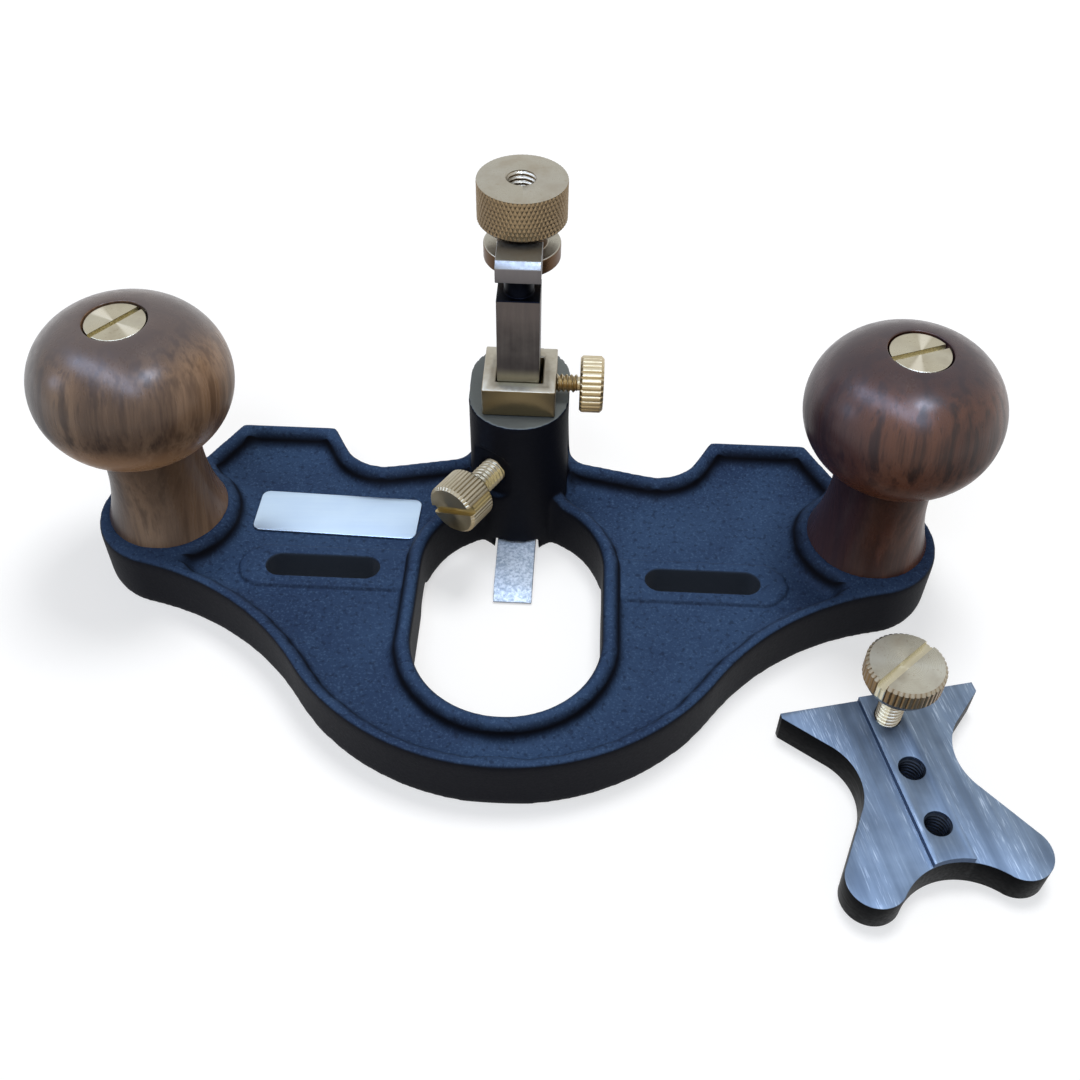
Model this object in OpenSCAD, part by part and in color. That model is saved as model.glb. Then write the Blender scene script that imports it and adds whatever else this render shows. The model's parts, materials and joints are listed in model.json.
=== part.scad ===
// Hand router plane: closed-mouth base, two turned knobs, adjustable cutter and a loose fence.
// X runs along the base, Y away from the user and Z up. The sole lies on z = 0, midway between the knobs.

/* [Base outline] */
// Distance between the two knob axes
knob_spacing = 152; // [144:1:164]
// Radius of the end of the base under each knob
end_r = 16.2; // [15.6:0.1:18]
// Centre of that end, inward of the knob axis
end_in = 1.5; // [0.5:0.1:2]
// Centre of that end, ahead of the knob line
end_lead = 1; // [0:0.1:1.5]
// Radius of the rounded front
front_r = 51; // [47:0.5:55]
// Centre of the rounded front, ahead of the knob line
front_lead = 12; // [9:0.5:15]
// Radius of the hollow between the front and each end
waist_r = 60; // [50:1:75]
// Rear edge of the two tabs, behind the knob line
tab_y = 27.7; // [26:0.1:30]
// Inner rear corner of each tab, from the centre line
tab_in = 43.6; // [41:0.2:46]
// Outer rear corner of each tab, from the centre line
tab_out = 65.4; // [62:0.2:68]
// Slant of the tab sides
tab_slant = 28.5; // [20:0.5:35]
// Radius of the hollow beside each tab
notch_r = 10.2; // [8:0.2:12]
// Where the rear edge would cross the centre line
rear_y = 22.2; // [20:0.2:24]
// Slope of the rear edge
rear_slope = 12.7; // [5:0.1:18]

/* [Base section] */
// Height of the rim above the sole
rim_h = 13.4; // [12:0.2:16]
// Width of the rim
rim_w = 3; // [2.4:0.2:4]
// Thickness of the floor inside the rim
floor_h = 8.8; // [7:0.2:10]
// Height of the slot pads above the floor
pad_rise = 0.9; // [0.4:0.1:1.5]
// Width of the slot pads
pad_w = 11.6; // [10:0.2:14]
// Outer end of the slot pads, from the centre line
pad_end = 58.4; // [56:0.2:59]
// Width of the raised seat around each knob's foot
seat_rim = 2.4; // [1.6:0.1:3]
// Depth of the recess that seats each knob
seat_depth = 0.5; // [0.3:0.1:1]

/* [Mouth and slots] */
// Half width of the mouth
mouth_r = 19.2; // [17:0.2:20]
// Front of the mouth, ahead of the knob line
mouth_front = 50.8; // [48:0.2:52]
// Back of the mouth, behind the knob line
mouth_back = 7.3; // [5:0.1:8]
// Width of the ring around the mouth
ring_w = 3.4; // [2.6:0.2:4]
// Width of each fence slot
slot_w = 6.4; // [6.2:0.1:7]
// Length of each fence slot over its round ends
slot_len = 24.6; // [20:0.2:28]
// Centre of each slot, from the centre line
slot_x = 40.5; // [38:0.5:42]
// Slots ahead of the knob line
slot_lead = 12.5; // [11:0.5:14]

/* [Post] */
// Radius of the post's round ends
post_r = 10.6; // [10:0.2:12]
// Nose of the post, behind the knob line
post_front = 2.7; // [2:0.1:4]
// Back of the post, behind the knob line
post_back = 30.7; // [30:0.1:34]
// Height of the post above the sole
post_h = 37; // [34:0.5:42]
// Wall between the nose and the cutter's hole
nose_wall = 6.9; // [6:0.1:8]
// Fillet between the post and the rear edge
post_fillet = 5.5; // [2:0.5:7]
// Depth of the flat cut for the clamp screw
flat_depth = 0.8; // [0.4:0.1:1.2]
// Radius of the flat cut for the clamp screw
flat_r = 6.4; // [5:0.2:7]

/* [Cutter] */
// Width of the stem
stem_w = 8.6; // [7.6:0.1:9.2]
// Depth of the stem from front to back
stem_d = 8; // [7:0.1:9]
// Height of the top of the stem above the sole
stem_top = 72.2; // [68:0.2:80]
// Height of the head above the groove
head_h = 4.3; // [3:0.1:6]
// How much wider the head is than the stem
head_extra = 0.3; // [0:0.1:0.4]
// Chamfer on the front top edge of the head
head_chamfer = 1.2; // [0.4:0.1:2]
// Height of the turned groove
groove_h = 4.2; // [3.4:0.1:5]
// Radius of the neck left by the groove
neck_r = 3; // [2.4:0.1:3.3]
// Thickness of the foot
foot_t = 2.2; // [1.8:0.1:2.6]
// Lowest point of the cutting edge above the sole as shown
edge_z = 0.2; // [0.1:0.1:0.6]
// Reach of the foot ahead of the knob line
foot_reach = 12.8; // [10:0.2:16]
// Width of the cutting edge
edge_w = 8.4; // [7:0.1:8.5]
// Length of the ground bevel at the cutting edge
bevel_len = 3.4; // [2:0.2:5]

/* [Depth nut] */
// Radius of the knurled wheel
wheel_r = 8.95; // [8:0.05:10]
// Height of the knurled wheel
wheel_h = 9.3; // [7:0.1:10.5]
// Chamfer at the wheel's two edges
wheel_chamfer = 0.5; // [0.3:0.1:1.2]
// Radius of the flange that runs in the groove
flange_r = 7.8; // [7:0.1:8.4]
// Radius of the neck between flange and wheel
nut_neck_r = 5; // [4.2:0.1:5.6]
// Radius of the adjuster stud
stud_r = 3; // [2.5:0.1:3.2]
// Length of the stud inside the post
stud_seat = 14; // [10:0.5:18]
// Height of the top of the stud above the sole
stud_top = 76; // [74:0.2:79]

/* [Stop collar] */
// Width of the collar
collar_w = 15.1; // [14.4:0.1:16]
// Depth of the collar from front to back
collar_d = 14.5; // [13:0.1:14.8]
// Height of the collar
collar_h = 6.6; // [6:0.1:8]
// Radius of the stop screw's shank
stop_r = 1.9; // [1.6:0.1:2.2]
// Shank length seen between collar and head
stop_reach = 4.9; // [4:0.1:8]
// Radius of the stop screw's head
stop_head_r = 5.9; // [4.5:0.1:6.4]
// Length of the stop screw's head
stop_head_l = 4.9; // [4:0.1:7]

/* [Clamp screw] */
// Height of the clamp screw above the sole
clamp_z = 22.4; // [20:0.2:27]
// Direction of the clamp screw, turned from the left toward the front
clamp_turn = 58; // [48:1:62]
// Radius of the clamp screw's shank
clamp_r = 2.8; // [2:0.1:3]
// Start of the clamp screw's head, from the cutter's axis
clamp_start = 17.3; // [16:0.1:19]
// Radius of the clamp screw's head
clamp_head_r = 5.8; // [4.5:0.1:6.2]
// Length of the clamp screw's head
clamp_head_l = 7.3; // [5:0.1:8]

/* [Knobs] */
// Height of the knob's top above the sole
knob_top = 63.2; // [58:0.2:70]
// Radius of the knob's foot
knob_foot_r = 12.8; // [11.5:0.1:13.4]
// Radius of the knob's neck
knob_neck_r = 10; // [8.6:0.1:10.6]
// Height of the neck's narrowest point above the sole
knob_neck_z = 28.4; // [25:0.2:30]
// Radius of the ball's section
ball_r = 14.6; // [14:0.1:15.4]
// Offset of the left ball's section from its axis
left_off = 5.3; // [4:0.1:6]
// Offset of the right ball's section from its axis
right_off = 4.8; // [4:0.1:6]
// Drop from the knob's top to the ball's centre
ball_drop = 14.5; // [13.6:0.1:14.8]
// Radius of the nut's disc in the knob's top
disc_r = 5.9; // [5:0.1:6.6]
// Thickness of the nut's disc
disc_t = 2.4; // [1.8:0.1:3]
// Radius of the nut's barrel
barrel_r = 4.2; // [4:0.1:4.6]
// Length of the nut's barrel
barrel_l = 14; // [10:0.5:20]
// Radius of the knob studs
knob_stud_r = 3; // [2.4:0.1:3.2]
// Depth of the knob studs in the base
knob_stud_seat = 9; // [6:0.5:10]

/* [Fence] */
// Width of the straight edge over its tips
fence_w = 40.4; // [37:0.2:44]
// Shift of the straight edge to the right of the holes
edge_shift = 0.3; // [0:0.1:0.6]
// Blunt end of the left tip
left_tip = 1.1; // [0.4:0.1:1.5]
// Blunt end of the right tip
right_tip = 2.2; // [0.4:0.1:3]
// Straight edge behind the middle hole
fence_back = 17.4; // [16.5:0.1:20]
// Thickness of the fence plate
fence_t = 6.8; // [5.6:0.1:7.6]
// Height of the rib above the plate
rib_h = 1.3; // [0.8:0.1:2]
// Width of the rib
rib_w = 7.8; // [7:0.1:9]
// Half width at the waist
fence_waist = 9.9; // [9:0.1:11]
// Radius of the hollow sides
fence_side_r = 11.6; // [10:0.1:13]
// Radius of the two round feet
lobe_r = 5.6; // [4.6:0.1:6]
// Round feet ahead of the middle hole
lobe_lead = 19.7; // [18.6:0.1:21]
// Round feet from the middle line
lobe_x = 14; // [13:0.1:15]
// Shift of the round feet to the left of the holes
foot_shift = 0.7; // [0:0.1:1]
// Front edge between the round feet, ahead of the middle hole
fence_front = 19.2; // [18.2:0.1:20]
// Distance between the tapped holes
hole_pitch = 12; // [10:0.1:12.4]
// Radius of the fence screw and its tapped holes
fence_screw_r = 2.55; // [2.3:0.05:2.9]
// Gap under the screw's head as shown
fence_screw_rise = 11; // [9.6:0.2:14]
// Radius of the fence screw's head
fence_head_r = 7.55; // [6.5:0.05:8.4]
// Height of the fence screw's head
fence_head_h = 6; // [5:0.1:8]
// Place of the loose fence, to the right
fence_at_x = 78.2; // [74:0.2:90]
// Place of the loose fence, ahead of the knob line
fence_at_y = 55.6; // [54:0.2:70]
// Turn of the loose fence
fence_turn = 14; // [0:1:20]

/* [Plate] */
// Width of the bare plate
plate_w = 36.2; // [30:0.2:37]
// Depth of the bare plate
plate_d = 12; // [10:0.2:12.4]
// Thickness of the bare plate
plate_t = 0.6; // [0.4:0.1:1]
// Corner radius of the bare plate
plate_corner = 1.8; // [1:0.1:3]

/* [Fits] */
// Gap between pieces that slide past each other
slide_gap = 0.25; // [0.2:0.05:0.3]
// Gap left where one moving piece rests on another
rest_gap = 0.3; // [0.25:0.05:0.4]
// Radial gap of a screw or stud in its hole
screw_gap = 0.05; // [0.03:0.01:0.08]
// Slot width in the knob nuts
nut_cut_w = 1.2; // [0.8:0.1:1.6]
// Slot width in the slotted thumbscrews
screw_cut_w = 1.8; // [1:0.1:2.2]
// Slot depth in the slotted heads
slot_cut_d = 1.3; // [0.8:0.1:1.6]

/* [Hidden] */
$fn = 72;
far = 200;
// Overlap where one arc runs into the next, so that they cross and never just touch.
blend = 0.02;

paint = [0.10, 0.12, 0.18];
brass = [0.80, 0.74, 0.50];
steel = [0.62, 0.64, 0.66];
left_wood = [0.42, 0.31, 0.23];
right_wood = [0.32, 0.16, 0.12];

knob_x = knob_spacing / 2;
seat_z = rim_h - seat_depth;
seat_gap = 0.15;
seat_r = knob_foot_r + seat_rim;
slot_r = slot_w / 2;
floor_top = rim_h - floor_h;

// Centres of the arcs that shape the base outline, right side.
front_c = [0, -front_lead];
end_c = [knob_x - end_in, -end_lead];
span = norm(end_c - front_c);
span_dir = (end_c - front_c) / span;
span_side = [span_dir[1], -span_dir[0]];
to_front = front_r + waist_r - blend;
to_end = end_r + waist_r - blend;
waist_along = (to_front * to_front - to_end * to_end + span * span) / (2 * span);
waist_off = sqrt(to_front * to_front - waist_along * waist_along);
waist_c = front_c + waist_along * span_dir + waist_off * span_side;
front_end = bearing(waist_c - front_c) + 4;

// Outward directions and offsets of the tab's sides and of the rear edge.
out_n = [cos(tab_slant), sin(tab_slant)];
in_n = [-cos(tab_slant), sin(tab_slant)];
rear_n = [sin(rear_slope), cos(rear_slope)];
out_k = out_n * [tab_out, tab_y];
in_k = in_n * [tab_in, tab_y];
rear_k = rear_y * rear_n[1];
notch_c = meet(in_n, in_k + notch_r, rear_n, rear_k + notch_r);
fillet_c = [post_r + post_fillet, (rear_k + post_fillet - rear_n[0] * (post_r + post_fillet)) / rear_n[1]];

post_y1 = post_front + post_r;
post_y2 = post_back - post_r;
stem_y = post_front + nose_wall + slide_gap + stem_d / 2;
stem_front = stem_y - stem_d / 2;
groove_z = stem_top - head_h - groove_h;
channel_h = edge_z + foot_t + 2 * slide_gap;

groove_gap = 0.35;
nut_y = stem_y + neck_r + slide_gap + flange_r;
flange_z = groove_z + groove_gap;
flange_t = groove_h - 2 * groove_gap;
wheel_z = stem_top + groove_gap;

collar_z = post_h + rest_gap;
stop_z = collar_z + collar_h / 2;
stop_tip = stem_w / 2 + rest_gap;
stop_start = slide_gap + collar_w / 2 + stop_reach;

corner_reach = (stem_w * cos(clamp_turn) + stem_d * sin(clamp_turn)) / 2;
clamp_tip = corner_reach + rest_gap;
clamp_face = post_r - flat_depth;

ball_z = knob_top - ball_drop;
knob_bore = barrel_r + seat_gap;
stud_floor = seat_z - knob_stud_seat;
barrel_z = knob_top - disc_t - barrel_l;
knob_stud_top = knob_top - disc_t - 4;

side_c = [fence_waist + fence_side_r, 0.6];
lobe_c = [lobe_x, -lobe_lead];
bay_r = bay_radius(lobe_x, lobe_lead - fence_front, lobe_r);
bay_c = [0, -fence_front - bay_r];
foot_move = [foot_shift, 0];
right_end = [fence_w / 2 + edge_shift, fence_back - right_tip];
left_end = [fence_w / 2 - edge_shift, fence_back - left_tip];

plate_turn = -1.7;
plate_x = -39.7;
plate_y = 3.1;

// Meeting point of two lines given by their normals and offsets.
function meet(n1, k1, n2, k2) =
    [(k1 * n2[1] - k2 * n1[1]) / (n1[0] * n2[1] - n2[0] * n1[1]),
     (n1[0] * k2 - n2[0] * k1) / (n1[0] * n2[1] - n2[0] * n1[1])];

// Point on a line at a given y.
function on_line(n, k, y) = [(k - n[1] * y) / n[0], y];

// Unit direction at an angle.
function heading(a) = [cos(a), sin(a)];

// Angle of a vector.
function bearing(v) = atan2(v[1], v[0]);

// Radius of an arc whose crown is at a given height above a round foot and that touches the foot.
function bay_radius(x, h, r) = (x * x + h * h - r * r) / (2 * (r + h));

module obround(r, y1, y2) {
    translate([0, y1]) circle(r);
    translate([0, y2]) circle(r);
    translate([-r, y1]) square([2 * r, y2 - y1]);
}

module both_sides() {
    children();
    mirror([1, 0]) children();
}

// Air beside the tab and behind the rear edge, right side.
module rear_air(inset) {
    r = notch_r + inset;
    touch_in = notch_c - r * in_n;
    touch_rear = notch_c - r * rear_n;
    rear_mid = [0, (rear_k - inset) / rear_n[1]];
    translate(notch_c) circle(r + blend);
    polygon([notch_c, touch_in, touch_in + 60 * [sin(tab_slant), cos(tab_slant)], [0, far],
        rear_mid, touch_rear]);
}

// Outline of the base, moved inward by an inset.
module outline(inset) {
    intersection() {
        translate(front_c) circle(front_r - inset);
        polygon([front_c, front_c + far * heading(180 - front_end), [-far, -far], [far, -far],
            front_c + far * heading(front_end)]);
    }
    both_sides() {
        translate(end_c) circle(end_r - inset);
        difference() {
            polygon([front_c, waist_c, end_c]);
            translate(waist_c) circle(waist_r + inset);
        }
        difference() {
            polygon([front_c, end_c, end_c + (out_k - inset - out_n * end_c) * out_n,
                on_line(out_n, out_k - inset, tab_y - inset), [0, tab_y - inset]]);
            rear_air(inset);
        }
    }
}

module post_2d() {
    obround(post_r, post_y1, post_y2);
}

// Fillets that lead the rear edge into the post.
module post_fillets() {
    both_sides() {
        difference() {
            polygon([[0, fillet_c[1]], fillet_c, fillet_c - post_fillet * rear_n, [0, 0]]);
            translate(fillet_c) circle(post_fillet + blend);
        }
    }
}

module mouth_2d(grow) {
    obround(mouth_r + grow, mouth_r - mouth_front, mouth_back - mouth_r);
}

module slot_2d(grow) {
    half = slot_len / 2 - slot_r;
    translate([slot_x, -slot_lead]) rotate(90) obround(slot_r + grow, -half, half);
}

module pad_2d() {
    r = pad_w / 2;
    translate([pad_end - r, -slot_lead]) circle(r);
    translate([0, -slot_lead - r]) square([pad_end - r, pad_w]);
}

// Floor of the base, inside the rim and outside ring, post and knob seats.
module floor_2d() {
    difference() {
        outline(rim_w);
        mouth_2d(ring_w);
        post_2d();
        both_sides() translate([knob_x, 0]) circle(seat_r);
    }
}

module base_body() {
    linear_extrude(rim_h) {
        outline(0);
        post_fillets();
        post_2d();
    }
    translate([0, 0, rim_h]) linear_extrude(post_h - rim_h) post_2d();
}

module floor_cut() {
    translate([0, 0, floor_h]) linear_extrude(floor_top + 1) difference() {
        floor_2d();
        both_sides() pad_2d();
    }
    translate([0, 0, floor_h + pad_rise]) linear_extrude(floor_top + 1) intersection() {
        floor_2d();
        both_sides() pad_2d();
    }
}

// Moves a piece that runs along Z onto the axis of the clamp screw.
module at_clamp() {
    translate([0, stem_y, clamp_z]) rotate([0, 0, 180 + clamp_turn]) rotate([0, 90, 0]) children();
}

module clamp_cuts() {
    at_clamp() {
        translate([0, 0, clamp_face]) cylinder(post_r, flat_r, flat_r);
        cylinder(post_r, clamp_r + screw_gap, clamp_r + screw_gap);
    }
}

module post_cuts() {
    hole_w = stem_w + 2 * slide_gap;
    hole_d = stem_d + 2 * slide_gap;
    translate([-hole_w / 2, stem_y - hole_d / 2, -1]) cube([hole_w, hole_d, post_h + 2]);
    channel_w = stem_w + 4 * slide_gap;
    channel_back = stem_y + hole_d / 2;
    translate([-channel_w / 2, -front_lead, -1]) cube([channel_w, channel_back + front_lead, channel_h + 1]);
    translate([0, nut_y, post_h - stud_seat]) cylinder(stud_seat + 1, stud_r, stud_r);
    clamp_cuts();
}

// Grooves in the sole that guide the fence's rib along the slots.
module rib_grooves() {
    groove_w = rib_w + 4 * slide_gap;
    translate([0, 0, -1]) linear_extrude(rib_h + slide_gap + 1) both_sides()
        translate([mouth_r - 1, -slot_lead - groove_w / 2]) square([pad_end + 4 - mouth_r, groove_w]);
}

module base_casting() {
    color(paint) difference() {
        base_body();
        floor_cut();
        translate([0, 0, -1]) linear_extrude(rim_h + 2) {
            difference() {
                mouth_2d(0);
                post_2d();
            }
            both_sides() slot_2d(0);
        }
        rib_grooves();
        post_cuts();
        for (s = [-1, 1]) {
            translate([s * knob_x, 0, seat_z])
                cylinder(seat_depth + 1, knob_foot_r + seat_gap, knob_foot_r + seat_gap);
            translate([s * knob_x, 0, stud_floor]) cylinder(rim_h, knob_stud_r, knob_stud_r);
        }
    }
}

// Section of a turned knob, from its axis outward.
module knob_section(ball_off) {
    neck_len = knob_neck_z - seat_z;
    flare = knob_foot_r - knob_neck_r;
    sweep_r = (neck_len * neck_len + flare * flare) / (2 * flare);
    difference() {
        union() {
            translate([0, seat_z]) square([knob_foot_r, neck_len]);
            translate([0, knob_neck_z]) square([knob_neck_r, ball_z - knob_neck_z]);
            intersection() {
                union() {
                    translate([ball_off, ball_z]) circle(ball_r);
                    translate([0, ball_z - ball_r]) square([ball_off, 2 * ball_r]);
                }
                translate([0, seat_z]) square([far, knob_top - seat_z]);
            }
        }
        intersection() {
            translate([knob_neck_r + sweep_r, knob_neck_z]) circle(sweep_r);
            translate([0, 0]) square([knob_foot_r + 1, knob_neck_z]);
        }
        translate([-1, 0]) square([knob_bore + 1, far]);
        translate([-1, knob_top - disc_t]) square([disc_r + seat_gap + 1, far]);
    }
}

module knob(ball_off) {
    rotate_extrude() knob_section(ball_off);
}

module knob_stud() {
    translate([0, 0, stud_floor]) cylinder(knob_stud_top - stud_floor, knob_stud_r, knob_stud_r);
}

module knob_nut() {
    difference() {
        union() {
            translate([0, 0, knob_top - disc_t]) cylinder(disc_t, disc_r, disc_r);
            translate([0, 0, barrel_z]) cylinder(barrel_l + disc_t / 2, barrel_r, barrel_r);
        }
        translate([0, 0, barrel_z - 1]) cylinder(knob_stud_top - barrel_z + 1, knob_stud_r, knob_stud_r);
        translate([-far / 2, -nut_cut_w / 2, knob_top - slot_cut_d]) cube([far, nut_cut_w, slot_cut_d + 1]);
    }
}

module left_knob() {
    color(left_wood) translate([-knob_x, 0, 0]) knob(left_off);
}

module right_knob() {
    color(right_wood) translate([knob_x, 0, 0]) knob(right_off);
}

module left_knob_stud() {
    color(steel) translate([-knob_x, 0, 0]) knob_stud();
}

module right_knob_stud() {
    color(steel) translate([knob_x, 0, 0]) knob_stud();
}

module left_knob_nut() {
    color(brass) translate([-knob_x, 0, 0]) rotate(52) knob_nut();
}

module right_knob_nut() {
    color(brass) translate([knob_x, 0, 0]) rotate(22) knob_nut();
}

module adjuster_stud() {
    stud_l = stud_top - post_h + stud_seat;
    color(steel) translate([0, nut_y, post_h - stud_seat]) cylinder(stud_l, stud_r, stud_r);
}

module wheel() {
    rotate_extrude() polygon([[0, 0], [wheel_r - wheel_chamfer, 0], [wheel_r, wheel_chamfer],
        [wheel_r, wheel_h - wheel_chamfer], [wheel_r - wheel_chamfer, wheel_h], [0, wheel_h]]);
}

module depth_nut() {
    color(brass) translate([0, nut_y, 0]) difference() {
        union() {
            translate([0, 0, flange_z]) cylinder(flange_t, flange_r, flange_r);
            translate([0, 0, flange_z]) cylinder(wheel_z - flange_z + 1, nut_neck_r, nut_neck_r);
            translate([0, 0, wheel_z]) wheel();
        }
        translate([0, 0, flange_z - 1]) cylinder(far, stud_r + screw_gap, stud_r + screw_gap);
    }
}

// Side view of the foot, with Y to the right and Z up.
module foot_side() {
    polygon([[-foot_reach, edge_z], [stem_y + stem_d / 2, edge_z], [stem_y + stem_d / 2, edge_z + foot_t],
        [bevel_len - foot_reach, edge_z + foot_t], [-foot_reach, edge_z + 0.3]]);
}

module foot() {
    intersection() {
        rotate([90, 0, 90]) translate([0, 0, -stem_w]) linear_extrude(2 * stem_w) foot_side();
        linear_extrude(far) polygon([[-edge_w / 2, -foot_reach], [edge_w / 2, -foot_reach],
            [stem_w / 2, stem_front], [stem_w / 2, stem_y + stem_d / 2],
            [-stem_w / 2, stem_y + stem_d / 2], [-stem_w / 2, stem_front]]);
    }
}

// Side view of the head, with Y to the right and Z up.
module head_side() {
    back = stem_y + stem_d / 2;
    low = groove_z + groove_h;
    polygon([[stem_front, low], [back, low], [back, stem_top], [stem_front + head_chamfer, stem_top],
        [stem_front, stem_top - head_chamfer]]);
}

module cutter() {
    head_w = stem_w + head_extra;
    color(steel) {
        foot();
        translate([-stem_w / 2, stem_front, edge_z]) cube([stem_w, stem_d, groove_z - edge_z]);
        translate([0, stem_y, groove_z - 1]) cylinder(groove_h + 2, neck_r, neck_r);
        rotate([90, 0, 90]) translate([0, 0, -head_w / 2]) linear_extrude(head_w) head_side();
    }
}

module stop_collar() {
    hole_w = stem_w + 4 * slide_gap;
    hole_d = stem_d + 2 * slide_gap;
    color(brass) translate([slide_gap, stem_y, collar_z]) difference() {
        translate([-collar_w / 2, -collar_d / 2, 0]) cube([collar_w, collar_d, collar_h]);
        translate([-hole_w / 2, -hole_d / 2, -1]) cube([hole_w, hole_d, collar_h + 2]);
        translate([0, 0, collar_h / 2]) rotate([0, 90, 0])
            cylinder(collar_w, stop_r + screw_gap, stop_r + screw_gap);
    }
}

module stop_thumbscrew() {
    color(brass) translate([0, stem_y, stop_z]) rotate([0, 90, 0]) {
        translate([0, 0, stop_tip]) cylinder(stop_start - stop_tip + 1, stop_r, stop_r);
        translate([0, 0, stop_start]) cylinder(stop_head_l, stop_head_r, stop_head_r);
    }
}

module clamp_thumbscrew() {
    cut_z = clamp_start + clamp_head_l - slot_cut_d;
    color(brass) at_clamp() difference() {
        union() {
            translate([0, 0, clamp_tip]) cylinder(clamp_start - clamp_tip + 1, clamp_r, clamp_r);
            translate([0, 0, clamp_start]) cylinder(clamp_head_l, clamp_head_r, clamp_head_r);
        }
        rotate(24) translate([-screw_cut_w / 2, -far / 2, cut_z]) cube([screw_cut_w, far, slot_cut_d + 1]);
    }
}

// Air beside the fence, right side: from the tip round the hollow side to the round foot.
module fence_side_air(tip, foot) {
    to_tip = tip - side_c;
    tip_a = bearing(to_tip) + acos(fence_side_r / norm(to_tip));
    tip_touch = side_c + fence_side_r * heading(tip_a);
    to_foot = foot - side_c;
    foot_a = bearing(to_foot) - acos((fence_side_r + lobe_r) / norm(to_foot));
    side_touch = side_c + fence_side_r * heading(foot_a);
    foot_touch = foot - lobe_r * heading(foot_a);
    translate(side_c) circle(fence_side_r + blend);
    polygon([side_c, tip_touch, tip, [far, tip[1]], [far, -far], foot, foot_touch, side_touch]);
}

// Fence outline, with the straight edge at +Y and the middle hole at the origin.
module fence_2d() {
    difference() {
        union() {
            difference() {
                translate([edge_shift - fence_w / 2, -lobe_lead]) square([fence_w, fence_back + lobe_lead]);
                fence_side_air(right_end, lobe_c - foot_move);
                mirror([1, 0]) fence_side_air(left_end, lobe_c + foot_move);
            }
            translate(-foot_move) {
                both_sides() translate(lobe_c) circle(lobe_r + blend);
                polygon([bay_c, lobe_c, [-lobe_x, -lobe_lead]]);
            }
        }
        translate(bay_c - foot_move) circle(bay_r + blend);
    }
}

module fence_holes() {
    for (k = [-1, 0, 1])
        translate([0, k * hole_pitch]) circle(fence_screw_r + screw_gap);
}

module at_fence() {
    translate([fence_at_x, -fence_at_y, 0]) rotate(fence_turn) children();
}

module fence() {
    color(steel) at_fence() {
        linear_extrude(fence_t) difference() {
            fence_2d();
            fence_holes();
        }
        translate([0, 0, fence_t - 1]) linear_extrude(rib_h + 1) difference() {
            intersection() {
                fence_2d();
                translate([-rib_w / 2, -far]) square([rib_w, 2 * far]);
            }
            fence_holes();
        }
    }
}

module fence_thumbscrew() {
    head_z = fence_t + rib_h + fence_screw_rise;
    taper_h = fence_head_h / 3;
    cut_z = head_z + fence_head_h - slot_cut_d;
    color(brass) at_fence() translate([0, hole_pitch, 0]) difference() {
        union() {
            translate([0, 0, rest_gap]) cylinder(head_z, fence_screw_r, fence_screw_r);
            translate([0, 0, head_z]) cylinder(taper_h, fence_head_r * 0.86, fence_head_r);
            translate([0, 0, head_z + taper_h]) cylinder(fence_head_h - taper_h, fence_head_r, fence_head_r);
        }
        rotate(-60) translate([-screw_cut_w / 2, -far / 2, cut_z]) cube([screw_cut_w, far, slot_cut_d + 1]);
    }
}

module blank_plate() {
    px = plate_w / 2 - plate_corner;
    py = plate_d / 2 - plate_corner;
    color(steel) translate([plate_x, plate_y, floor_h]) rotate(plate_turn) linear_extrude(plate_t) {
        for (sx = [-1, 1], sy = [-1, 1])
            translate([sx * px, sy * py]) circle(plate_corner);
        square([plate_w, 2 * py], center = true);
        square([2 * px, plate_d], center = true);
    }
}

base_casting();
left_knob();
right_knob();
left_knob_stud();
right_knob_stud();
left_knob_nut();
right_knob_nut();
adjuster_stud();
depth_nut();
cutter();
stop_collar();
stop_thumbscrew();
clamp_thumbscrew();
fence();
fence_thumbscrew();
blank_plate();
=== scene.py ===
import json
import math

import bmesh
import bpy
import numpy as np
from mathutils import Matrix, Vector
from mathutils.bvhtree import BVHTree

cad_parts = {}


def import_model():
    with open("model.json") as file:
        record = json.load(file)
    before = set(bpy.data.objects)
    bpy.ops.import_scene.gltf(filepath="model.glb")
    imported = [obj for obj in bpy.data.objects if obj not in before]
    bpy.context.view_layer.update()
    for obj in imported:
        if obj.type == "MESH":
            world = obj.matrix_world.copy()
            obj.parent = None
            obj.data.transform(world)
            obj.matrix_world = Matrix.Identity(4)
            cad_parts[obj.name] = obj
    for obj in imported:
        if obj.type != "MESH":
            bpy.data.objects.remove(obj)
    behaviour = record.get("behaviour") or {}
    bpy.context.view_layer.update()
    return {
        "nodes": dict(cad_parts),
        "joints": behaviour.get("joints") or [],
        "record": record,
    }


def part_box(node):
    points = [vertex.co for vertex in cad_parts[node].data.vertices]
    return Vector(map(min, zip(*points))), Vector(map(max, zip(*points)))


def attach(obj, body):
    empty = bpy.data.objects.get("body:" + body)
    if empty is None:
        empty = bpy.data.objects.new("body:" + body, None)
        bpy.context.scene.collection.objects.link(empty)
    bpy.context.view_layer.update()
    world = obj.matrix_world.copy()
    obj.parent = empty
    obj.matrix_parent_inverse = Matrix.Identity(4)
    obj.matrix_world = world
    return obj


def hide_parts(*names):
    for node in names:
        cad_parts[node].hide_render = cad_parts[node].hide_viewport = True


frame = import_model()

# Sizes are in millimetres until a mesh is made.
MM = 0.001
TURN = 2 * math.pi

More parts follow.
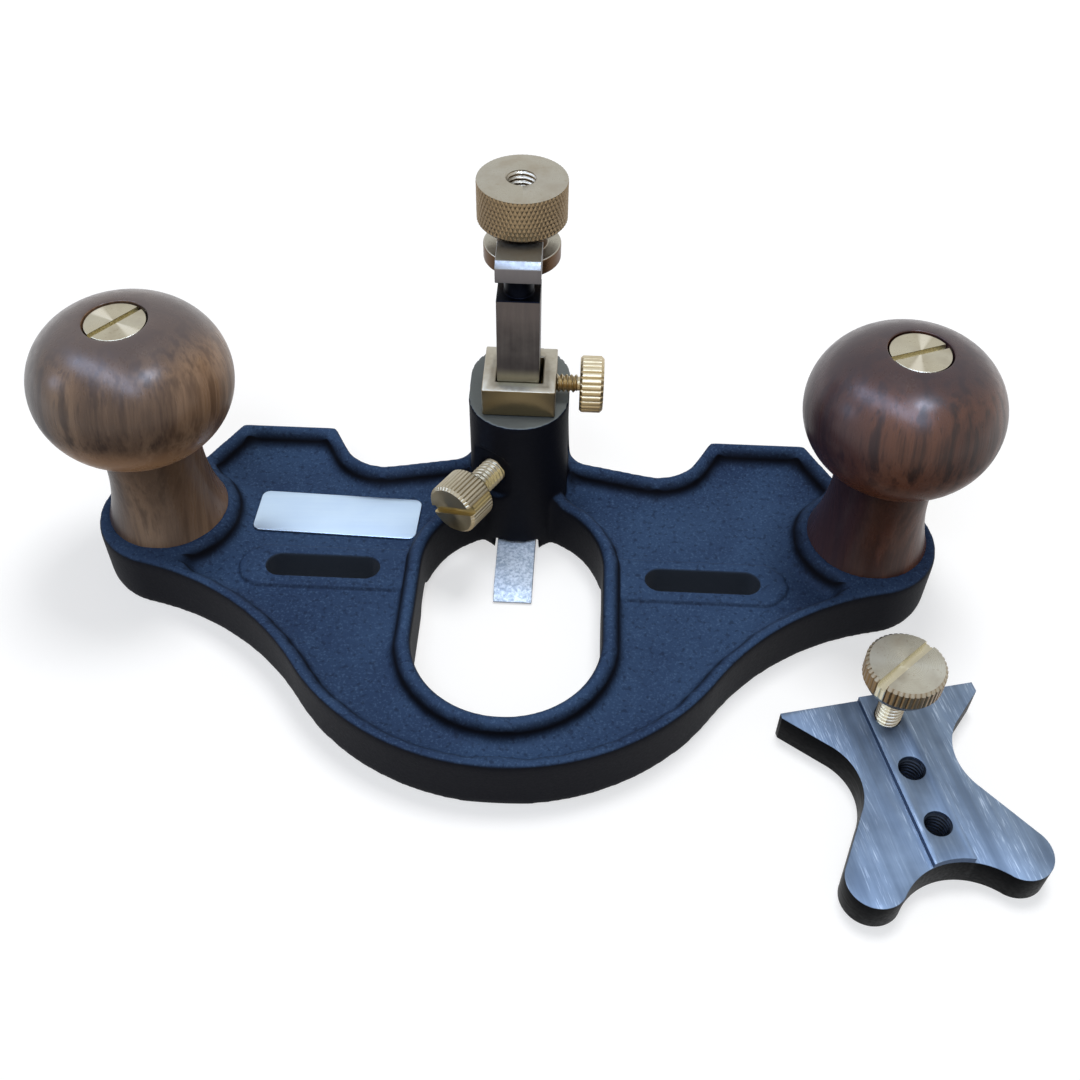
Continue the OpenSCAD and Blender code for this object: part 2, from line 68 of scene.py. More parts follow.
# Base
voxel = 0.5
soften_rounds = 16
fillet_r = 2.1
round_r = 1.6
grid_step = 0.5
grid_margin = 4
no_metal_z = -30.0
least_top_z = 5
skin_t = 0.7
edge_slack = 0.3
stray_h = 2.5
sole_hold = 0.8
sole_blend = 1.2
post_foot_z = 20
post_r = 10.6
post_y = 20.1
post_side_y = 16
post_slack = 0.3
post_top_hold = 35.2
post_top_blend = 0.8
post_bare_z = 36.75
seat_hold_r = 13.5
seat_blend = (-0.4, 0.2)
mouth_r = 19.2
mouth_y = (-31.6, -11.9)
slot_x = 40.5
slot_y = -12.5
slot_len = 24.6
slot_w = 6.4
slot_blend = (0.2, 1.4)
slot_wall_t = 0.3
pad_w = 11.6
pad_end = 58.4
pad_rise = 0.9
pad_ring = (0.6, 1.6)
pad_flatness = 0.2
pad_margin = 1.2
pad_band_z = (8, 10.2)
pad_give = 0.08
clamp_flat_r = 7
clamp_flat_l = 12
clamp_flat_give = 0.25
channel_half_w = 6
channel_front_y = -2
channel_back = 6
channel_h = 6
channel_give = 0.2

# Knobs
foot_r = 12.8
ball_r = 14.6
ball_drop = 14.5
neck_r = 10
neck_z = 28.4
neck_pale_z = 34
crease_r = 1.2
recess_gap = 0.3
recess_lip_r = 0.25
nut_sink = 0.3
knob_sides = 128
ball_points = 64
crease_points = 8
sweep_points = 24
grain_lean = math.radians(24)
grain_stretch = (12, 26)

# Knob nuts
disc_t = 2.4
disc_edge_r = 0.22
disc_under_r = 0.2
barrel_r = 4.2
barrel_edge_r = 0.3
nut_bore_r = 3
nut_bore_roof = 4
nut_cut_w = 1.2
nut_cut_d = 1.3
nut_cut_turn = {"left": 52, "right": 22}
# Directions, in degrees, of the painted highlight rays on the knob nuts.
nut_highlight_turn = {"left": 92, "right": 51}
nut_sides = 96

# Depth nut and threads
flange_r = 7.8
flange_t = 3.5
flange_edge_r = 0.35
nut_neck_r = 5
nut_neck_fillet = 0.3
nut_hole_chamfer = {"low": 0.4, "top": 0.25}
wheel_h = 9.3
wheel_chamfer = 0.5
wheel_teeth = 64
wheel_pitch = 1.9
knurl_d = 0.15
knurl_flat = 1.5
knurl_slack = 0.1
points_per_rib = 8
thread_pitch = 1
thread_step = thread_pitch / 10
thread_d = 0.45
thread_gap = 0.08
thread_lead = 0.5
wall_t = 0.5
thread_sides = 40
stud_chamfer = 0.6

# Thumbscrews
stop_r = 1.9
stop_head_l = 4.9
stop_ribs = 28
clamp_r = 2.8
clamp_head_l = 7.3
clamp_ribs = 42
clamp_run = (0.775, -0.484, 0.407)
fence_screw_r = 2.55
fence_head_h = 6
fence_head_taper = 0.86
fence_ribs = 44
fence_run = (math.cos(math.radians(44)), math.sin(math.radians(44)), 0)
rib_d = 0.28
rib_flat = 1.6
rib_start = 0.05
tip_inset = 0.2
shank_lead = 0.6
head_chamfer = 0.6
head_under_chamfer = 0.5
head_under_r = 0.2
screw_cut_w = 1.8
screw_cut_d = 1.3
cut_slack = 0.03
cut_rim = 0.1

# Cutter, where its finish changes
cutter_foot_z = 2.85
brassy_band_z = (36.5, 46)
upper_stem_z = 57
groove_z = 63.5
head_z = 67.9

# Fence
fence_t = 6.8
fence_step_z = fence_t - 0.15
fence_turn = 14
free_hole_r = 2.6
free_hole_thread_d = 0.4
free_hole_thread_t = 0.2
free_hole_proud = 0.02
free_hole_inset = {"low": 0.5, "top": 0.4}
free_holes = {"middle": "fence_hole_middle", "front": "fence_hole_front"}

# Widths of eased edges
cutter_edge = 0.25
collar_edge = 0.3
fence_edge = 0.3
plate_edge = 0.12

# Colours, sRGB from 0 to 255
# The paint's near-black side tone is painted shade, and its slot tone is painted light on the slots' sides.
paint_tones = {
    "deep": (38, 54, 82), "pale": (48, 68, 98), "fleck": (80, 105, 138), "pit": (20, 28, 46),
    "painted_side_shade": (12, 13, 20), "slot": (50, 57, 68), "bare": (92, 96, 95), "bare_pale": (118, 123, 121)}
# The cutter's head and foot side tones are painted shade on upright faces, and its groove tone is black oxide
# with painted shade.
cutter_tones = {
    "stem": (56, 52, 51), "stem_pale": (78, 73, 70), "stem_top": (92, 84, 80), "brassy_band": (124, 118, 98),
    "groove": (12, 14, 21), "head_side": (112, 107, 106), "chamfer": (134, 136, 138),
    "head_top": (130, 129, 122), "foot": (160, 169, 176), "foot_pale": (204, 209, 212),
    "foot_side": (70, 74, 82)}
fleck_tone = (196, 207, 220)

JOINTS = {j["name"]: j for j in frame["joints"]}


def node_points(node):
    """A CAD node's points at rest, in millimetres."""
    mesh = frame["nodes"][node].data
    co = np.empty(len(mesh.vertices) * 3, np.float32)
    mesh.vertices.foreach_get("co", co)
    return co.reshape(-1, 3).astype(float) / MM


def axis_of(joint):
    """A joint's point in millimetres, and its direction."""
    found = JOINTS[joint]
    return np.array(found["pos_m"]) / MM, np.array(Vector(found["axis"]).normalized())


def reach(node, point, axis):
    """A node's lowest and highest place along an axis and its largest radius round it."""
    rel = node_points(node) - point
    along = rel @ axis
    radius = np.linalg.norm(rel - np.outer(along, axis), axis=1)
    return along.min(), along.max(), radius.max()


def centre(node):
    low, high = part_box(node)
    return (low + high) / 2 / MM


def stand(point, axis=(0, 0, 1), run=(1, 0, 0)):
    """Matrix of a local frame with Z along axis and X as near as can be to run."""
    z = Vector(axis).normalized()
    x = (Vector(run) - Vector(run).dot(z) * z).normalized()
    y = z.cross(x)
    turn = Matrix((x, y, z)).transposed().to_4x4()
    return Matrix.Translation(Vector(point) * MM) @ turn


# Mesh making

def finish_mesh(mesh, sharp):
    bm = bmesh.new()
    bm.from_mesh(mesh)
    bmesh.ops.remove_doubles(bm, verts=bm.verts, dist=1e-7)
    bmesh.ops.recalc_face_normals(bm, faces=bm.faces)
    bm.to_mesh(mesh)
    bm.free()
    shade(mesh, sharp)


def shade(mesh, sharp):
    mesh.shade_smooth()
    mesh.set_sharp_from_angle(angle=math.radians(sharp))


def piece(name, mesh, place=None):
    obj = bpy.data.objects.new(name, mesh)
    bpy.context.scene.collection.objects.link(obj)
    if place:
        obj.matrix_world = place
    return obj


def settle(obj, body, slot, look, *nodes):
    """Gives a piece its body and finish, and hides the nodes that it stands for. Its slot argument is not
    used.
    """
    obj.data.materials.clear()
    obj.data.materials.append(look)
    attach(obj, body)
    if nodes:
        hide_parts(*nodes)
    return obj


def applied(obj):
    """Puts an object's modifiers into its mesh."""
    graph = bpy.context.evaluated_depsgraph_get()
    mesh = bpy.data.meshes.new_from_object(obj.evaluated_get(graph))
    old = obj.data
    obj.modifiers.clear()
    obj.data = mesh
    bpy.data.meshes.remove(old)
    return obj


def arc(cx, cz, r, start, end, count):
    """Points on a circle in the section, angles in degrees."""
    t = np.radians(np.linspace(start, end, count))
    return list(zip(cx + r * np.cos(t), cz + r * np.sin(t)))


def rounded(points, closed=False, count=4):
    """A section's corners, each (r, z) or (r, z, fillet), with its fillets drawn."""
    out = []
    for i, point in enumerate(points):
        here = Vector(point[:2])
        fillet = point[2] if len(point) > 2 else 0
        if not fillet or (not closed and i in (0, len(points) - 1)):
            out.append(tuple(here))
            continue
        back = (Vector(points[i - 1][:2]) - here).normalized()
        ahead = (Vector(points[(i + 1) % len(points)][:2]) - here).normalized()
        half = back.angle(ahead) / 2
        start, end = here + back * fillet / math.tan(half), here + ahead * fillet / math.tan(half)
        middle = here + (back + ahead).normalized() * fillet / math.sin(half)
        for k in range(count + 1):
            chord = start.lerp(end, k / count) - middle
            out.append(tuple(middle + chord.normalized() * fillet))
    return out


def split_walls(points, step, closed=False):
    """Adds points along the upright parts of a section, no further apart than step."""
    out = []
    for i, (r, z) in enumerate(points):
        out.append((r, z))
        if i == len(points) - 1 and not closed:
            break
        r2, z2 = points[(i + 1) % len(points)]
        parts = math.ceil(abs(z2 - z) / step) if abs(r2 - r) < abs(z2 - z) else 1
        out += [(r + (r2 - r) * k / parts, z + (z2 - z) * k / parts) for k in range(1, parts)]
    return out


def revolve(name, section, sides, place, closed=False, relief=None, sharp=32):
    """A turned piece: the section goes round local Z, and relief(angle, r, z) may change its radii."""
    angle = np.arange(sides) * TURN / sides
    rings = []
    for r, z in section:
        radius = np.full(sides, r) if relief is None else relief(angle, r, z)
        rings.append(np.stack([radius * np.cos(angle), radius * np.sin(angle), np.full(sides, z)], 1))
    verts = np.concatenate(rings) * MM
    first = np.arange(sides)
    after = (first + 1) % sides
    faces = []
    for i in range(len(section) if closed else len(section) - 1):
        a, b = i * sides, (i + 1) % len(section) * sides
        faces += np.stack([a + first, a + after, b + after, b + first], 1).tolist()
    if not closed:
        faces += [first[::-1].tolist(), (first + (len(section) - 1) * sides).tolist()]
    mesh = bpy.data.meshes.new(name)
    mesh.from_pydata(verts.tolist(), [], faces)
    finish_mesh(mesh, sharp)
    return piece(name, mesh, place)


def wave(u):
    """A ridge from 0 to 1 and back for each whole step of u."""
    return 1 - np.abs(2 * (u % 1) - 1)


def knurl(outer_r, teeth, pitch, depth):
    """Relief of crossed grooves on the outside of a wheel, in diamonds of that height."""
    def relief(angle, r, z):
        u, v = angle * teeth / TURN, z / pitch
        top = np.minimum(np.minimum(wave(u + v), wave(u - v)) * knurl_flat, 1)
        return np.minimum(r, outer_r - depth * (1 - top))
    return relief


def ribs(outer_r, count, depth):
    """Relief of straight grooves on the outside of a head."""
    def relief(angle, r, z):
        top = np.minimum(wave(angle * count / TURN) * rib_flat, 1)
        return np.minimum(r, outer_r - depth * (1 - top * (2 - top)))
    return relief


def helix(angle, z):
    """Depth share of a right-hand thread: 0 on its crest, 1 in its root."""
    return 0.5 - 0.5 * np.cos(TURN * (z / thread_pitch - angle / TURN))


def threaded(crest_r, depth, other=None):
    """Relief of a thread on walls at the crest's radius; other holds for the rest of the piece."""
    def relief(angle, r, z):
        if abs(r - crest_r) < 0.01:
            return r - depth * helix(angle, z)
        return other(angle, r, z) if other else np.full(len(angle), r)
    return relief


def cut_slot(obj, width, depth, top, length=40, sharp=32):
    """Cuts a screwdriver slot along local X into a head's top."""
    mesh = bpy.data.meshes.new("slot_tool")
    bm = bmesh.new()
    bmesh.ops.create_cube(bm, size=MM)
    bmesh.ops.scale(bm, vec=(length, width, 2 * depth), verts=bm.verts)
    bmesh.ops.translate(bm, vec=(0, 0, top * MM), verts=bm.verts)
    bm.to_mesh(mesh)
    bm.free()
    tool = piece("slot_tool", mesh, obj.matrix_world.copy())
    bpy.context.view_layer.update()
    change = obj.modifiers.new("slot", "BOOLEAN")
    change.operation, change.solver, change.object = "DIFFERENCE", "EXACT", tool
    applied(obj)
    bpy.data.objects.remove(tool)
    bpy.data.meshes.remove(mesh)
    shade(obj.data, sharp)
    return obj


def clean_copy(name, node, weld=1e-6, flat=0.6):
    """A copy of a CAD node's mesh with its points joined and its flat faces whole."""
    mesh = frame["nodes"][node].data.copy()
    mesh.name = name
    bm = bmesh.new()
    bm.from_mesh(mesh)
    bmesh.ops.remove_doubles(bm, verts=bm.verts, dist=weld)
    bmesh.ops.dissolve_limit(bm, angle_limit=math.radians(flat), verts=bm.verts, edges=bm.edges)
    bm.to_mesh(mesh)
    bm.free()
    return piece(name, mesh)


def eased(name, node, width, angle=40, segments=2):
    """A copy of a CAD node with its sharp edges eased."""
    obj = clean_copy(name, node)
    bevel = obj.modifiers.new("edges", "BEVEL")
    bevel.width, bevel.segments = width * MM, segments
    bevel.limit_method, bevel.angle_limit = "ANGLE", math.radians(angle)
    bevel.use_clamp_overlap = True
    applied(obj)
    shade(obj.data, angle)
    return obj


# Finishes

def made(tree, kind, inputs=None, **settings):
    """A shader node with its settings and inputs, given by value or by socket."""
    node = tree.nodes.new(kind)
    for key, value in settings.items():
        setattr(node, key, value)
    for key, value in (inputs or {}).items():
        if isinstance(value, bpy.types.NodeSocket):
            tree.links.new(value, node.inputs[key])
        else:
            node.inputs[key].default_value = value
    return node


class Finish:
    """A material with one Principled shader and short ways to add nodes."""

    def __init__(self, name, **uniform):
        self.material = bpy.data.materials.new(name)
        self.material.use_nodes = True
        self.tree = self.material.node_tree
        self.shader = self.tree.nodes["Principled BSDF"]
        for key, value in uniform.items():
            self.shader.inputs[key.replace("_", " ")].default_value = value
        self.place = made(self.tree, "ShaderNodeTexCoord").outputs["Object"]

    def scaled(self, scale, turn=0):
        """Places scaled along axes that are turned, in degrees, round local Z."""
        node = made(self.tree, "ShaderNodeMapping", {"Vector": self.place, "Scale": [1 / a for a in scale],
            "Rotation": (0, 0, math.radians(turn))}, vector_type="TEXTURE")
        return node.outputs["Vector"]

    def noise(self, where, scale, detail=2, rough=0.5, warp=0):
        node = made(self.tree, "ShaderNodeTexNoise", {"Vector": where, "Scale": scale,
            "Detail": detail, "Roughness": rough, "Distortion": warp})
        return node.outputs["Fac"]

    def math(self, operation, a, b=0.0, c=0.0):
        return made(self.tree, "ShaderNodeMath", {0: a, 1: b, 2: c}, operation=operation).outputs[0]

    def steps(self, value, low, high, out_low=0.0, out_high=1.0):
        """A soft rise from out_low to out_high as a value goes from low to high."""
        node = made(self.tree, "ShaderNodeMapRange", {"Value": value, "From Min": low, "From Max": high,
            "To Min": out_low, "To Max": out_high}, interpolation_type="SMOOTHSTEP")
        return node.outputs["Result"]

    def above(self, z, height, blur):
        """1 above a height and 0 below it, with a blend that far to each side, in millimetres."""
        return self.steps(z, (height - blur) * MM, (height + blur) * MM)

    def below(self, z, height, blur):
        return self.above(z, height, -blur)

    def near(self, value, middle, half):
        """1 where a value is less than half from its middle, in millimetres, else 0."""
        away = self.math("ABSOLUTE", self.math("SUBTRACT", value, middle * MM))
        return self.math("LESS_THAN", away, half * MM)

    def mix(self, share, a, b):
        return made(self.tree, "ShaderNodeMix", {0: share, 6: a, 7: b}, data_type="RGBA").outputs[2]

    def tint(self, colour, other, mask, share):
        """Mixes another colour in by a mask, up to that share."""
        return self.mix(self.math("MULTIPLY", mask, share), colour, other)

    def parts(self, vector):
        return made(self.tree, "ShaderNodeSeparateXYZ", {0: vector}).outputs

    def bump(self, height, strength, distance):
        node = made(self.tree, "ShaderNodeBump", {"Height": height, "Strength": strength,
            "Distance": distance * MM})
        return node.outputs["Normal"]

    def radius(self):
        x, y, _ = self.parts(self.place)
        return self.math("SQRT", self.math("ADD", self.math("MULTIPLY", x, x), self.math("MULTIPLY", y, y)))

    def facing(self):
        """Parts of the surface's direction."""
        return self.parts(made(self.tree, "ShaderNodeNewGeometry").outputs["Normal"])

    def within_cut(self, top, width):
        """1 inside a screwdriver slot along local X below that top, else 0."""
        _, y, z = self.parts(self.place)
        beside = self.near(y, 0, width / 2 + cut_slack)
        return self.math("MULTIPLY", beside, self.math("LESS_THAN", z, (top - cut_rim) * MM))

    def fan(self, turn):
        """1 along two rays from local Z, at that angle in degrees and opposite it, else 0."""
        x, y, _ = self.parts(self.place)
        aim = math.radians(turn)
        along = self.math("MULTIPLY_ADD", x, math.cos(aim), self.math("MULTIPLY", y, math.sin(aim)))
        return self.steps(self.math("DIVIDE", self.math("ABSOLUTE", along), self.radius()), 0.95, 1)

    def end(self, **links):
        for key, socket in links.items():
            self.tree.links.new(socket, self.shader.inputs[key.replace("_", " ")])
        return self.material


def rgb(r, g, b):
    """An sRGB colour, 0 to 255, as Blender's linear RGBA."""
    line = [v / 255 for v in (r, g, b)]
    line = [v / 12.92 if v <= 0.04045 else ((v + 0.055) / 1.055) ** 2.4 for v in line]
    return (*line, 1)


def grey(value):
    return (value, value, value, 1)


def tones(table):
    return {name: rgb(*value) for name, value in table.items()}


def paint():
    """Textured dark paint with painted sheen and shade: bluer on its upper faces and near-black on its sides,
    with the slots' sides painted lighter. Also the bare top of the post.
    """
    tone = tones(paint_tones)
    f = Finish("textured_paint", Specular_IOR_Level=0.07)
    fine = f.noise(f.place, 1900, 3, 0.6)
    grain = f.noise(f.place, 900, 2, 0.5)
    cloud = f.noise(f.place, 60, 3, 0.5)
    x, y, z = f.parts(f.place)
    up = f.facing()[2]
    # Upper faces get a painted blue sheen, and upright faces a painted near-black shade.
    top = f.mix(f.steps(cloud, 0.3, 0.7), tone["deep"], tone["pale"])
    top = f.tint(top, tone["fleck"], f.steps(fine, 0.5, 0.7), 0.4)
    top = f.tint(top, tone["pit"], f.steps(grain, 0.46, 0.3), 0.5)
    # The fence slots' sides are painted lighter than the other sides: painted light.
    along = f.near(f.math("ABSOLUTE", x), slot_x, slot_len / 2 + slot_wall_t)
    across = f.near(y, slot_y, slot_w / 2 + slot_wall_t)
    painted_side_shade = f.mix(f.math("MULTIPLY", along, across), tone["painted_side_shade"], tone["slot"])
    painted_sheen_and_shade = f.mix(f.steps(up, 0.3, 0.97), painted_side_shade, top)
    ragged = f.math("ADD", z, f.math("MULTIPLY", f.math("SUBTRACT", grain, 0.5), 0.9 * MM))
    bare = f.math("MULTIPLY", f.above(ragged, post_bare_z, 0.1), f.steps(up, 0.6, 0.8))
    colour = f.mix(bare, painted_sheen_and_shade, f.mix(cloud, tone["bare"], tone["bare_pale"]))
    rough = f.mix(bare, f.mix(fine, grey(0.5), grey(0.68)), grey(0.5))
    relief = f.bump(f.math("ADD", fine, f.math("MULTIPLY", grain, 0.8)), 0.3, 0.12)
    metal = f.math("MULTIPLY", bare, 0.3)
    return f.end(Base_Color=colour, Metallic=metal, Roughness=rough, Normal=relief)


def wood_grain(f, shift):
    """Places for noise that is drawn out along the leaning grain, by less and by more."""
    moved = made(f.tree, "ShaderNodeMapping", {"Vector": f.place, "Location": shift}).outputs["Vector"]
    lean = (-grain_lean, 0, 0)
    return [made(f.tree, "ShaderNodeMapping", {"Vector": moved, "Scale": (1, 1, length), "Rotation": lean},
        vector_type="TEXTURE").outputs["Vector"] for length in grain_stretch]


def wood(name, pale, mid, dark, crown_grain_and_sheen, painted_warm_tone, painted_flank_reflection, shift, streaks, gloss):
    """Oiled wood with leaning grain, broad figure, dark streaks, short pores and plain end grain. It has a
    painted reflection on faces turned left, a painted warm light on faces turned right and on downward end
    grain, and a painted bluish sheen in the upward end grain's tone.
    """
    f = Finish(name)
    long, finer = wood_grain(f, shift)
    broad = f.noise(long, 80, 3, 0.5)
    streak = f.noise(finer, 400, 3, 0.55)
    thin = f.noise(finer, 820, 3, 0.6)
    fibre = f.noise(finer, 1700, 2, 0.5)
    pores = f.steps(f.noise(finer, 1350, 1, 0.4), 0.34, 0.27)
    colour = f.mix(f.steps(broad, 0.36, 0.62), pale, mid)
    colour = f.tint(colour, dark, f.steps(broad, 0.52, 0.68), 0.5)
    colour = f.tint(colour, dark, f.steps(streak, 0.47, 0.64), streaks)
    colour = f.tint(colour, dark, f.steps(thin, 0.48, 0.68), 0.5)
    colour = f.tint(colour, pale, f.steps(fibre, 0.55, 0.75), 0.2)
    colour = f.tint(colour, dark, pores, 0.4)
    right, back, up = f.facing()
    colour = f.tint(colour, pale, f.below(f.parts(f.place)[2], neck_pale_z, 4), 0.25)
    # Faces turned to the left get a painted reflection, and faces turned to the right a painted warm light.
    colour = f.tint(colour, painted_flank_reflection, f.steps(right, -0.2, -0.8), 0.65)
    colour = f.tint(colour, painted_warm_tone, f.steps(right, 0.4, 1), 0.25)
    end = f.math("ABSOLUTE", f.math("MULTIPLY_ADD", up, math.cos(grain_lean),
        f.math("MULTIPLY", back, math.sin(grain_lean))))
    # Downward end grain gets the painted warm tone. Upward end grain gets the crown tone, which is end grain
    # with a painted bluish sheen.
    end_tone = f.mix(f.steps(up, -0.2, 0.2), painted_warm_tone, crown_grain_and_sheen)
    colour = f.tint(colour, end_tone, f.steps(end, 0.4, 0.8), 0.85)
    both = f.math("MULTIPLY_ADD", thin, 0.5, f.math("MULTIPLY", streak, 0.5))
    rough = f.steps(both, 0.3, 0.7, 0.24, 0.36)
    relief = f.bump(f.math("SUBTRACT", f.math("ADD", fibre, thin), pores), 0.14, 0.05)
    shine = f.steps(up, -0.1, 0.6, 0.05, gloss)
    return f.end(Base_Color=colour, Roughness=rough, Normal=relief, Specular_IOR_Level=shine)


def brass(name, top, side, low, cut=None, skirt=None, rays=None, low_rough=0.24, high_rough=0.4):
    """Turned brass with fine rings round local Z, with painted reflection and shade by face direction: pale
    on top, browner on upright faces and below. It is paler along two painted highlight rays.

    cut is a slot's top, width and colour, skirt the height and colour of a browner lower part,
    and rays the direction and colour of two painted highlight rays.
    """
    f = Finish(name, Metallic=1.0, Anisotropic=0.7)
    tangent = made(f.tree, "ShaderNodeTangent", direction_type="RADIAL", axis="Z").outputs[0]
    cloud = f.noise(f.place, 260, 3, 0.55)
    spot = f.noise(f.place, 1500, 2, 0.5)
    ring = made(f.tree, "ShaderNodeTexNoise", {"W": f.math("MULTIPLY", f.radius(), 9000.0), "Scale": 1.0,
        "Detail": 2.0}, noise_dimensions="1D").outputs["Fac"]
    up = f.facing()[2]
    if skirt:
        side = f.mix(f.math("LESS_THAN", f.parts(f.place)[2], skirt[0] * MM), side, skirt[1])
    # Colour by face direction is painted reflection and shade: pale facing up, darker upright, darkest facing
    # down.
    colour = f.mix(f.steps(up, 0.3, 0.97), f.mix(f.steps(up, -0.7, 0.0), low, side), top)
    colour = f.tint(colour, side, f.steps(cloud, 0.4, 0.75), 0.3)
    colour = f.tint(colour, side, f.steps(spot, 0.62, 0.75), 0.3)
    if rays:
        # Two painted highlight rays across the turned top.
        colour = f.tint(colour, rays[1], f.fan(rays[0]), 0.75)
    if cut:
        colour = f.mix(f.within_cut(*cut[:2]), colour, cut[2])
    rough = f.steps(f.math("ADD", cloud, f.math("MULTIPLY", ring, 0.5)), 0.4, 1.1, low_rough, high_rough)
    return f.end(Base_Color=colour, Roughness=rough, Normal=f.bump(ring, 0.08, 0.05), Tangent=tangent)


def ground(f, along, turn=0):
    """Fine and broad lines along one local axis, and soft clouds."""
    where = f.scaled(along, turn)
    return f.noise(where, 1600, 3, 0.6), f.noise(where, 320, 3, 0.6), f.noise(f.place, 130, 3, 0.55)


def milled(name, pale, deep, side, along, turn=0, lines=0.12, low_rough=0.28, high_rough=0.45, flecks=0.0,
        step=None):
    """Milled metal with fine lines along one local axis and another colour on its upright faces.

    step is the height above which upright faces have a painted shade colour of their own, and that colour.
    """
    f = Finish(name, Metallic=1.0)
    line, band, cloud = ground(f, along, turn)
    mixed = f.math("MULTIPLY_ADD", band, 0.6, f.math("MULTIPLY", cloud, 0.4))
    colour = f.mix(f.steps(mixed, 0.35, 0.65), deep, pale)
    dash = f.noise(f.scaled(tuple(2 * a if a < 0.1 else a for a in along), turn), 3400, 3, 0.6)
    scratched = f.math("MULTIPLY", f.steps(dash, 0.52, 0.7), f.steps(band, 0.45, 0.62))
    colour = f.tint(colour, rgb(*fleck_tone), scratched, flecks)
    painted_side_shade = side
    if step:
        height, tone = step
        painted_side_shade = f.mix(f.math("GREATER_THAN", f.parts(f.place)[2], height * MM), side, tone)
    # Upright faces take the painted shade colour.
    colour = f.mix(f.steps(f.facing()[2], 0.2, 0.8), painted_side_shade, colour)
    rough = f.steps(line, 0.3, 0.7, low_rough, high_rough)
    return f.end(Base_Color=colour, Roughness=rough, Normal=f.bump(f.math("ADD", line, band), lines, 0.06))


def cutter_steel():
    """Dark ground stem, a black groove that is oxide with painted shade, a head painted paler on its bevel
    and top than on its sides, and a pale grainy foot with painted shade on its sides.
    """
    tone = tones(cutter_tones)
    f = Finish("ground_cutter_steel", Metallic=1.0)
    line, band, cloud = ground(f, (1, 1, 0.05))
    z = f.parts(f.place)[2]
    up = f.facing()[2]
    grain = f.noise(f.place, 1500, 3, 0.6)
    mixed = f.math("MULTIPLY_ADD", band, 0.4, f.math("MULTIPLY", cloud, 0.6))
    stem = f.mix(f.steps(mixed, 0.35, 0.65), tone["stem"], tone["stem_pale"])
    stem = f.tint(stem, tone["stem_top"], f.above(z, upper_stem_z, 5), 0.7)
    # A brassy tint on the stem between these heights.
    brassy_band = f.math("MULTIPLY", f.below(z, brassy_band_z[1], 1.5), f.above(z, brassy_band_z[0], 0.5))
    stem = f.tint(stem, tone["brassy_band"], brassy_band, 0.8)
    # The head's colour by face direction is painted light: darker sides, paler bevel and top.
    head = f.mix(f.steps(up, 0.1, 0.6), tone["head_side"], tone["chamfer"])
    head = f.mix(f.steps(up, 0.8, 0.95), head, tone["head_top"])
    foot = f.mix(f.steps(grain, 0.35, 0.65), tone["foot"], tone["foot_pale"])
    # The foot's upright sides get painted shade.
    foot = f.mix(f.steps(up, 0.2, 0.6), tone["foot_side"], foot)
    on_foot = f.below(z, cutter_foot_z, 0.25)
    # Above groove_z the neck and shoulder are black, from oxide and painted shade.
    colour = f.mix(f.above(z, groove_z, 0.05), stem, tone["groove"])
    colour = f.mix(f.above(z, head_z, 0.1), colour, head)
    colour = f.mix(on_foot, colour, foot)
    rough = f.math("ADD", f.steps(line, 0.3, 0.7, 0.3, 0.46), f.math("MULTIPLY", on_foot, 0.25))
    return f.end(Base_Color=colour, Roughness=rough, Normal=f.bump(f.math("ADD", line, grain), 0.12, 0.05))


def head_top(node, joint):
    """A screw head's top along its joint's axis."""
    return reach(node, *axis_of(joint))[1]


def nut_brass(side):
    top_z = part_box(f"{side}_knob_nut")[1].z / MM - nut_sink
    return brass(f"slotted_brass_{side}", top=rgb(180, 174, 154), side=rgb(126, 110, 86), low=rgb(84, 70, 54),
        cut=(top_z, nut_cut_w, rgb(212, 204, 176)), rays=(nut_highlight_turn[side], rgb(222, 217, 201)))


PAINT = paint()
LEFT_WOOD = wood("left_walnut", pale=rgb(136, 110, 87), mid=rgb(106, 83, 66), dark=rgb(52, 37, 30),
    crown_grain_and_sheen=rgb(80, 70, 69), painted_warm_tone=rgb(172, 130, 94), painted_flank_reflection=rgb(46, 41, 45), shift=(0.031, 0.017, 0.004),
    streaks=0.75, gloss=0.45)
RIGHT_WOOD = wood("right_rosewood", pale=rgb(100, 64, 48), mid=rgb(70, 42, 33), dark=rgb(26, 13, 11),
    crown_grain_and_sheen=rgb(50, 38, 43), painted_warm_tone=rgb(90, 52, 34), painted_flank_reflection=rgb(60, 48, 58), shift=(-0.028, 0.022, 0.011),
    streaks=0.8, gloss=0.45)
BRASS = brass("turned_brass", top=rgb(170, 166, 153), side=rgb(140, 120, 92), low=rgb(84, 70, 54),
    skirt=(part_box("depth_nut")[1].z / MM - wheel_h, rgb(92, 66, 42)))
NUT_BRASS = {side: nut_brass(side) for side in ("left", "right")}
STOP_BRASS = brass("stop_brass", top=rgb(202, 190, 160), side=rgb(168, 145, 104), low=rgb(112, 90, 60))
CLAMP_BRASS = brass("clamp_brass", top=rgb(190, 183, 163), side=rgb(164, 148, 116), low=rgb(124, 104, 78),
    cut=(head_top("clamp_thumbscrew", "clamp_screw_turn"), screw_cut_w, rgb(190, 172, 124)),
    low_rough=0.36, high_rough=0.5)
# The fence screw's browner upright faces and underside are a painted reflection of the nearby wood.
FENCE_BRASS = brass("fence_brass", top=rgb(180, 177, 163), side=rgb(124, 101, 70), low=rgb(84, 66, 46),
    cut=(head_top("fence_thumbscrew", "fence_screw_turn"), screw_cut_w, rgb(206, 199, 174)))
COLLAR_BRASS = milled("milled_brass", pale=rgb(182, 177, 163), deep=rgb(164, 157, 141),
    side=rgb(130, 113, 82), along=(1, 1, 12), lines=0.08)
STEM_STEEL = cutter_steel()
